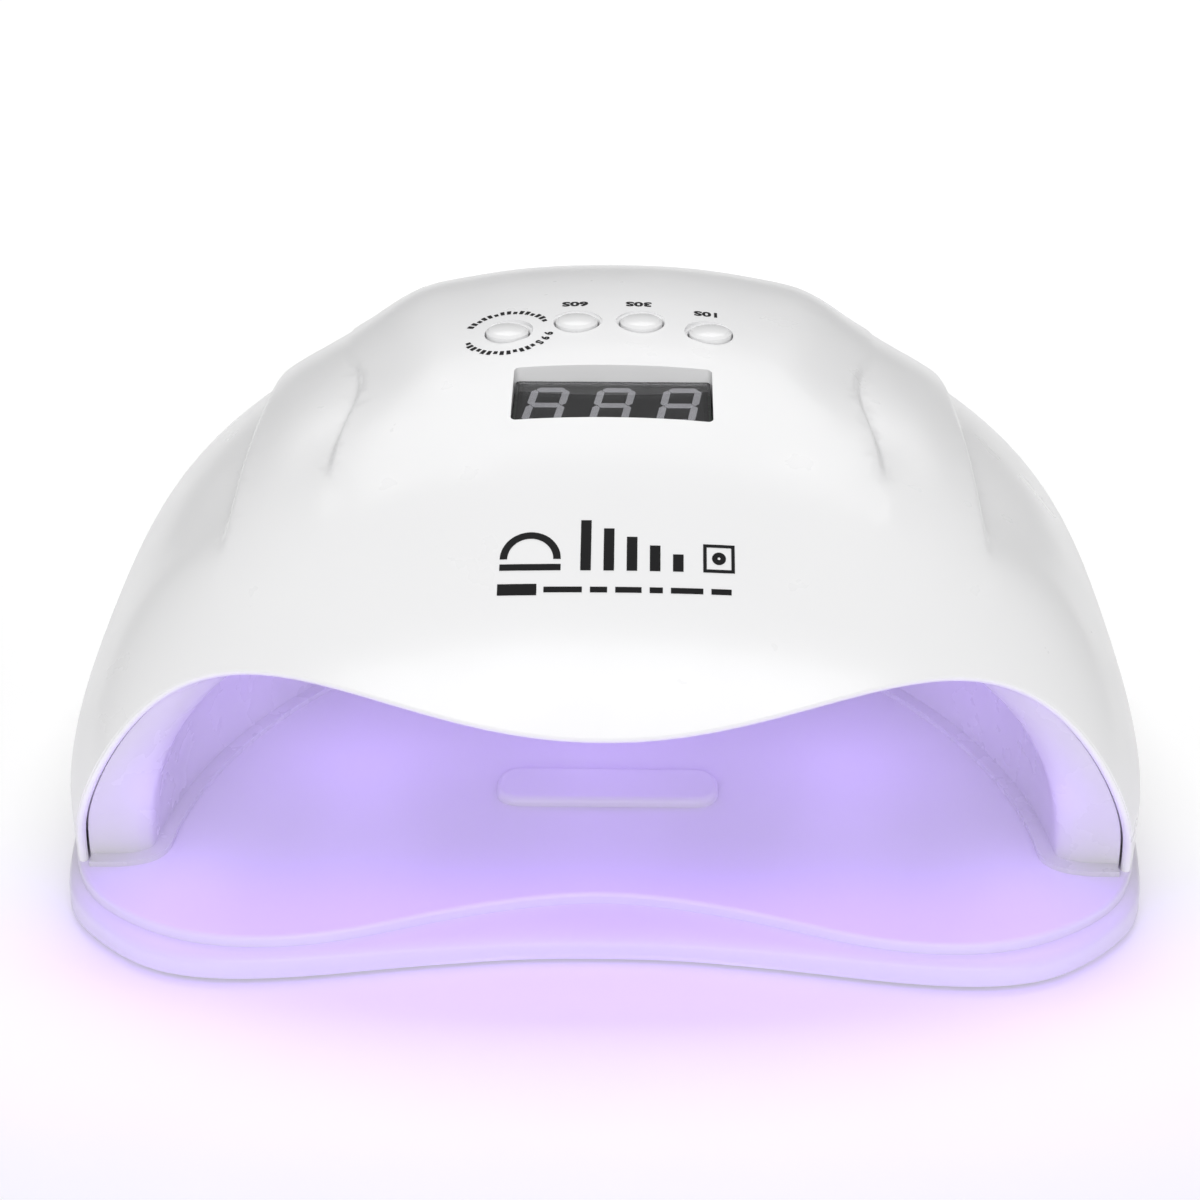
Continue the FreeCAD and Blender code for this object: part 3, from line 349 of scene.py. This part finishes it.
def text_faces(text, size):
    """Flat bold triangles of a word set in the built-in font, centred on its own origin."""
    curve = bpy.data.curves.new("lettering", "FONT")
    curve.body = text
    curve.size = size
    curve.offset = size * 0.035
    curve.align_x = "CENTER"
    curve.align_y = "CENTER"
    curve.resolution_u = 3
    holder = bpy.data.objects.new("lettering", curve)
    bpy.context.scene.collection.objects.link(holder)
    bpy.context.view_layer.update()
    mesh = bpy.data.meshes.new_from_object(holder)
    corners = [v.co.copy() for v in mesh.vertices]
    faces = [tuple(p.vertices) for p in mesh.polygons]
    bpy.data.objects.remove(holder)
    return corners, faces


def arc_strip(radius, width, start, end, steps):
    """A flat curved bar between two angles in degrees."""
    corners = []
    faces = []
    for k in range(steps + 1):
        angle = math.radians(start + (end - start) * k / steps)
        for r in (radius, radius + width):
            corners.append(Vector((r * math.cos(angle), r * math.sin(angle), 0.0)))
    for k in range(steps):
        faces.append((2 * k, 2 * k + 1, 2 * k + 3, 2 * k + 2))
    return corners, faces


def middle(node):
    low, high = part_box(node)
    return (Vector(low) + Vector(high)) / 2


def join(shapes):
    corners = []
    faces = []
    for some_corners, some_faces in shapes:
        offset = len(corners)
        corners += some_corners
        faces += [tuple(i + offset for i in f) for f in some_faces]
    return corners, faces


def bar(x0, y0, x1, y1, cell=1.0):
    """A flat bar cut into small cells so that it can follow a curved surface."""
    across = max(1, math.ceil(abs(x1 - x0) / cell))
    along = max(1, math.ceil(abs(y1 - y0) / cell))
    corners = []
    faces = []
    for j in range(along + 1):
        for i in range(across + 1):
            corners.append(
                Vector((x0 + (x1 - x0) * i / across, y0 + (y1 - y0) * j / along, 0.0))
            )
    for j in range(along):
        for i in range(across):
            first = j * (across + 1) + i
            faces.append((first, first + 1, first + across + 2, first + across + 1))
    return corners, faces


def turned(shape, degrees):
    corners, faces = shape
    turn = Matrix.Rotation(math.radians(degrees), 4, "Z")
    return [turn @ c for c in corners], faces


def shifted(shape, x, y):
    corners, faces = shape
    return [c + Vector((x, y, 0.0)) for c in corners], faces


DOWN = Vector((0.0, 0.0, -1.0))


def print_from_above(name, shape, centre):
    corners, faces = shape
    printed(name, faces, [c + centre for c in corners], DOWN)


# The three plain times stand behind their buttons and read from the back.
LABEL_BEHIND = 0.0092
LABEL_SIDEWAYS = -0.0006
LABEL_HEIGHT = 0.0030
LABEL_STRETCH = 1.35
for node, text in (("button_2", "60S"), ("button_3", "30S"), ("button_4", "10S")):
    word = turned(text_faces(text, LABEL_HEIGHT), 180.0)
    word = [Vector((c.x * LABEL_STRETCH, c.y, 0.0)) for c in word[0]], word[1]
    word = shifted(word, LABEL_SIDEWAYS, LABEL_BEHIND)
    print_from_above("time_label_" + text, word, middle(node))

# The left button has two arcs of short ticks, with its time at the start of the front one.
RING_RADIUS = 0.0086
TICK_LENGTH = 0.0015
TICK_STEP = 9.0                 # degrees from tick to tick
TICK_SPAN = 5.5                 # degrees that one tick covers
RING_DIGIT_HEIGHT = 0.0026
ring = []
for first, last in ((25.0, 155.0), (-160.0, -52.0)):
    for k in range(int((last - first) / TICK_STEP) + 1):
        angle = first + k * TICK_STEP
        length = TICK_LENGTH * (1.0 if k % 3 else 0.7)
        ring.append(arc_strip(RING_RADIUS, length, angle, angle + TICK_SPAN, 2))
print_from_above("timer_ring", join(ring), middle("button_1"))
digits = []
for character, angle in (("9", -12.0), ("9", -25.0), ("S", -38.0)):
    digit = text_faces(character, RING_DIGIT_HEIGHT)
    digit = shifted(digit, 0.0, RING_RADIUS + TICK_LENGTH / 2)
    digits.append(turned(digit, angle - 90.0))
print_from_above("time_label_99S", join(digits), middle("button_1"))

# A plain printed device on the brow: a dome over its base, falling bars, a framed dot and dashes.
MARK_CENTRE = Vector((0.0025, -0.0598, 0.0789))
MARK_UP = Vector((0.0, 0.82, 0.57)).normalized()
MARK_HEADING = Vector((0.0, 0.57, -0.82)).normalized()
MM = 0.001


def on_brow(name, shape):
    corners, faces = shape
    laid = []
    for c in corners:
        laid.append(MARK_CENTRE + Vector((c.x * MM, 0.0, 0.0)) + MARK_UP * (c.y * MM))
    printed(name, faces, laid, MARK_HEADING)


dome = shifted(arc_strip(4.6, 1.5, 0.0, 180.0, 24), -17.0, -3.2)
on_brow("mark_dome", join([dome, bar(-23.1, -5.7, -10.9, -4.3)]))
levels = [bar(-7.0 + 4.6 * k, -5.7, -4.9 + 4.6 * k, 5.7 - 1.9 * k) for k in range(5)]
on_brow("mark_levels", join(levels))
frame_bars = [
    bar(17.4, -5.7, 18.1, 0.6),
    bar(23.0, -5.7, 23.7, 0.6),
    bar(18.1, -5.7, 23.0, -5.0),
    bar(18.1, -0.1, 23.0, 0.6),
    shifted(arc_strip(0.3, 1.1, 0.0, 360.0, 18), 20.55, -2.55),
]
on_brow("mark_framed_dot", join(frame_bars))
dashes = [bar(-23.4, -11.0, -15.6, -8.6)]
left = -14.2
for length in (7.6, 3.4, 5.2, 2.6, 6.4, 4.0):
    dashes.append(bar(left, -10.4, left + length, -9.2))
    left += length + 1.6
on_brow("mark_dashes", join(dashes))

# ------------------------------------------------------------- floor and light
FLOOR_HALF = 6.0
FLOOR_Z = -0.0003               # just below the rubber feet
FLOOR_GLOW = 0.17
SKY_LOW, SKY_HIGH = 0.16, 0.52

floor_mat, floor_tree, floor_shader = new_material("floor_paper")
paper = noise(floor_tree, 40.0, 4.0)
floor_tone = blend_colours(
    floor_tree, spread(floor_tree, paper, 0.0, 1.0), (0.94, 0.94, 0.94), (0.93, 0.93, 0.93)
)
floor_tree.links.new(floor_tone, floor_shader.inputs["Base Color"])
floor_shader.inputs["Roughness"].default_value = 0.9
floor_shader.inputs["Emission Color"].default_value = (1.0, 1.0, 1.0, 1.0)
floor_shader.inputs["Emission Strength"].default_value = FLOOR_GLOW
floor_shader.inputs["Specular IOR Level"].default_value = 0.1
floor_mesh = bpy.data.meshes.new("floor")
floor_mesh.from_pydata(
    [
        (x * FLOOR_HALF, y * FLOOR_HALF, FLOOR_Z)
        for x, y in ((-1.0, -1.0), (1.0, -1.0), (1.0, 1.0), (-1.0, 1.0))
    ],
    [],
    [(0, 1, 2, 3)],
)
floor_mesh.materials.append(floor_mat)
floor = bpy.data.objects.new("floor", floor_mesh)
bpy.context.scene.collection.objects.link(floor)


def area_light(name, place, aim, size, power, colour=WHITE):
    lamp = bpy.data.lights.new(name, "AREA")
    lamp.shape = "RECTANGLE"
    lamp.size, lamp.size_y = size
    lamp.energy = power
    lamp.color = colour
    obj = bpy.data.objects.new(name, lamp)
    obj.location = place
    obj.rotation_mode = "QUATERNION"
    obj.rotation_quaternion = (Vector(aim) - Vector(place)).to_track_quat("-Z", "Y")
    bpy.context.scene.collection.objects.link(obj)
    return obj


def lights_only(lamp, label, lit_objects):
    """A flag before the lamp: it lights these objects and no others."""
    group = bpy.data.collections.new("lit_by_" + label)
    for obj in lit_objects:
        group.objects.link(obj)
    lamp.light_linking.receiver_collection = group


# Each softbox is flagged off what it would wash out: the tray and the chamber keep the diodes'
# glow, and the display lens mirrors only its own card.
inner = {"base_tray", "reflector_liner"}
housing_nodes = [obj for name, obj in nodes.items() if name not in inner]
unglazed = [obj for name, obj in nodes.items() if name != "display_lens"]
key = area_light(
    "key_softbox", place=(0.0, 0.75, 1.10), aim=(0.0, 0.0, 0.05), size=(1.4, 0.7), power=5.5
)
lights_only(key, "key", unglazed)
wash = area_light(
    "floor_wash", place=(0.0, 0.75, 1.20), aim=(0.0, -0.1, 0.0), size=(1.2, 0.5), power=11.5
)
lights_only(wash, "wash", [floor])
front = area_light(
    "front_softbox", place=(0.0, -1.1, 0.85), aim=(0.0, -0.05, 0.05), size=(1.4, 0.7), power=11.5
)
lights_only(front, "front", housing_nodes)
fill = area_light(
    "chamber_fill", place=(0.0, -1.2, 0.55), aim=(0.0, -0.05, 0.03), size=(1.2, 0.5), power=4.5
)
lights_only(fill, "fill", [nodes[name] for name in sorted(inner)])

# The room is bright overhead and falls to grey at the horizon, which draws the sides of the dome.
world = bpy.data.worlds.new("studio")
world.use_nodes = True
sky_tree = world.node_tree
sky_place = add(sky_tree, "ShaderNodeTexCoord")
sky_axis = add(sky_tree, "ShaderNodeSeparateXYZ")
sky_tree.links.new(sky_place.outputs["Generated"], sky_axis.inputs["Vector"])
sky_level = spread(sky_tree, sky_axis.outputs["Z"], SKY_LOW, SKY_HIGH, 0.0, 0.9)
sky_tree.links.new(sky_level, sky_tree.nodes["Background"].inputs["Strength"])
sky_tree.nodes["Background"].inputs["Color"].default_value = (1.0, 1.0, 1.0, 1.0)
bpy.context.scene.world = world
bpy.context.scene.view_settings.view_transform = "Standard"

# The glow of the diodes inside the chamber, carried by lights that lift with the lamp.
def glow_light(name, place, radius, power):
    glow = bpy.data.lights.new(name, "POINT")
    glow.energy = power
    glow.color = CHAMBER_VIOLET
    glow.shadow_soft_size = radius
    holder = bpy.data.objects.new(name, glow)
    holder.location = place
    holder.visible_camera = False
    bpy.context.scene.collection.objects.link(holder)
    holder.parent = frame["bodies"]["lamp"]


glow_light("glow_centre", (0.0, -0.018, 0.036), radius=0.016, power=0.011)
for side, label in ((-1.0, "left"), (1.0, "right")):
    glow_light("glow_" + label, (side * 0.055, -0.030, 0.030), radius=0.014, power=0.009)
    place = (side * 0.088, -0.072, 0.022)
    glow_light("glow_front_" + label, place, radius=0.012, power=0.003)

# Violet light that spills over the tray's front edge on to the floor, and leaves the housing white.
spill_low, spill_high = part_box("base_tray")
spill = area_light(
    "glow_spill",
    place=(0.0, spill_low.y - 0.002, 0.026),
    aim=(0.0, spill_low.y - 0.004, 0.0),
    size=(0.25, 0.05),
    power=0.042,
    colour=VIOLET,
)
spill.visible_camera = False
spill.visible_glossy = False
lights_only(spill, "spill", [floor, nodes["base_tray"]])

# ---------------------------------------------------------------------- camera
AZIMUTH = math.radians(1.0)
ELEVATION = math.radians(28.0)
DISTANCE = 0.4875
SENSOR_MM = 36.0
FOCAL_MM = 65.28
SHIFT_X = -7.0 / 1200.0         # of the frame's width
TARGET = Vector((0.0, -0.0175, 0.044))
back = Vector(
    (
        math.sin(AZIMUTH) * math.cos(ELEVATION),
        -math.cos(AZIMUTH) * math.cos(ELEVATION),
        math.sin(ELEVATION),
    )
)
view = bpy.data.cameras.new("camera")
view.sensor_width = SENSOR_MM
view.lens = FOCAL_MM
view.shift_x = SHIFT_X
view.clip_start = 0.01
camera = bpy.data.objects.new("camera", view)
camera.location = TARGET + back * DISTANCE
camera.rotation_mode = "QUATERNION"
camera.rotation_quaternion = (-back).to_track_quat("-Z", "Y")
bpy.context.scene.collection.objects.link(camera)
bpy.context.scene.camera = camera

# A white card behind the lamp, seen only by the display lens, whose edge runs across it.
lens_low, lens_high = (Vector(c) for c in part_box("display_lens"))
lens_tilt = math.atan2(lens_high.z - lens_low.z, lens_high.y - lens_low.y)
lens_normal = Vector((0.0, -math.sin(lens_tilt), math.cos(lens_tilt)))
lens_middle = (lens_low + lens_high) / 2
CARD_DISTANCE = 0.5
CARD_SIZE = (0.8, 0.4)
CARD_POWER = 1.1
CARD_SETBACK = 0.30             # from the card's edge line to its middle
EDGE_FRONT = (0.17, 0.0)        # where the edge crosses the lens, across and along it
EDGE_REAR = (0.95, 1.0)


def mirrored_at(point):
    """Unit direction in which the lens shows its surroundings at this point."""
    ray = (point - camera.location).normalized()
    return ray - 2.0 * ray.dot(lens_normal) * lens_normal


def on_card_plane(point):
    facing = mirrored_at(lens_middle)
    ray = mirrored_at(point)
    origin = lens_middle + facing * CARD_DISTANCE
    return point + ray * ((origin - point).dot(facing) / ray.dot(facing))


def lens_point(across, along):
    low, high = lens_low, lens_high
    return Vector(
        (
            low.x + (high.x - low.x) * across,
            low.y + (high.y - low.y) * along,
            low.z + (high.z - low.z) * along,
        )
    )


edge_start = on_card_plane(lens_point(*EDGE_FRONT))
edge_end = on_card_plane(lens_point(*EDGE_REAR))
edge = (edge_end - edge_start).normalized()
facing = mirrored_at(lens_middle)
outward = facing.cross(edge).normalized()
if (on_card_plane(lens_point(0.0, 1.0)) - edge_start).dot(outward) < 0.0:
    outward = -outward
card_centre = (edge_start + edge_end) / 2 + outward * CARD_SETBACK
card = area_light("lens_card", card_centre, lens_middle, CARD_SIZE, CARD_POWER)


def card_turn(side):
    """Rotation that puts the card's X along side and its Y along outward."""
    return Matrix((side, outward, side.cross(outward))).transposed().to_quaternion()


card.rotation_quaternion = card_turn(edge)
if (card.rotation_quaternion @ Vector((0.0, 0.0, -1.0))).dot(facing) > 0.0:
    card.rotation_quaternion = card_turn(-edge)
card.visible_camera = False
lights_only(card, "card", [nodes["display_lens"]])
